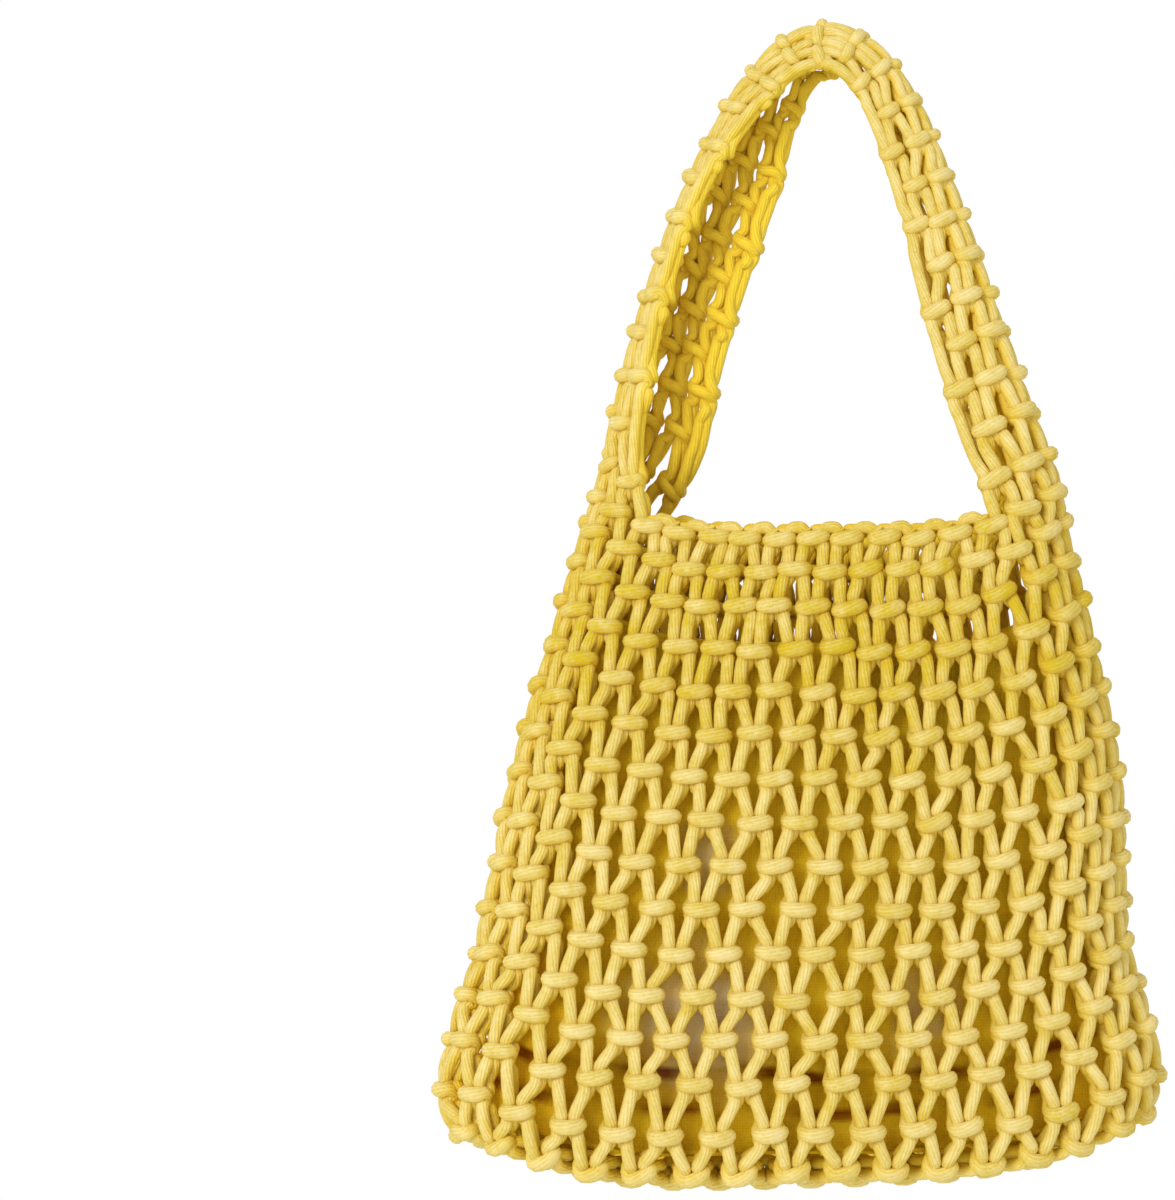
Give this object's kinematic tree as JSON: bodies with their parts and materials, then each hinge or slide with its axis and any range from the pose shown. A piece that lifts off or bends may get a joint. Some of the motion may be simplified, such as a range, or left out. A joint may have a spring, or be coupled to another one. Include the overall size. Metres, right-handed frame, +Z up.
{
  "type": "knotted cord tote bag",
  "caption": "Hand-knotted cotton cord tote bag with an open-topped net body, a cloth lining and one folded net strap, hanging from its strap.",
  "frame": {"origin": "middle of the strap's gripped stretch at the top of the loop, where the bag hangs", "axes": "+Z up, +X to the right across the bag seen from the front, +Y to the back; the front faces -Y"},
  "size_m": [0.2417, 0.0824, 0.3863],
  "materials": {
    "cord": "soft matte cotton cord, pale yellow",
    "lining": "plain-weave amber beige cloth, matte"
  },
  "bodies": {
    "root": {"front_net": "cord", "back_net": "cord", "left_side_net": "cord", "right_side_net": "cord", "base_net": "cord", "front_rim": "cord", "back_rim": "cord", "strap": "cord", "lining": "lining"}
  },
  "joints": []
}
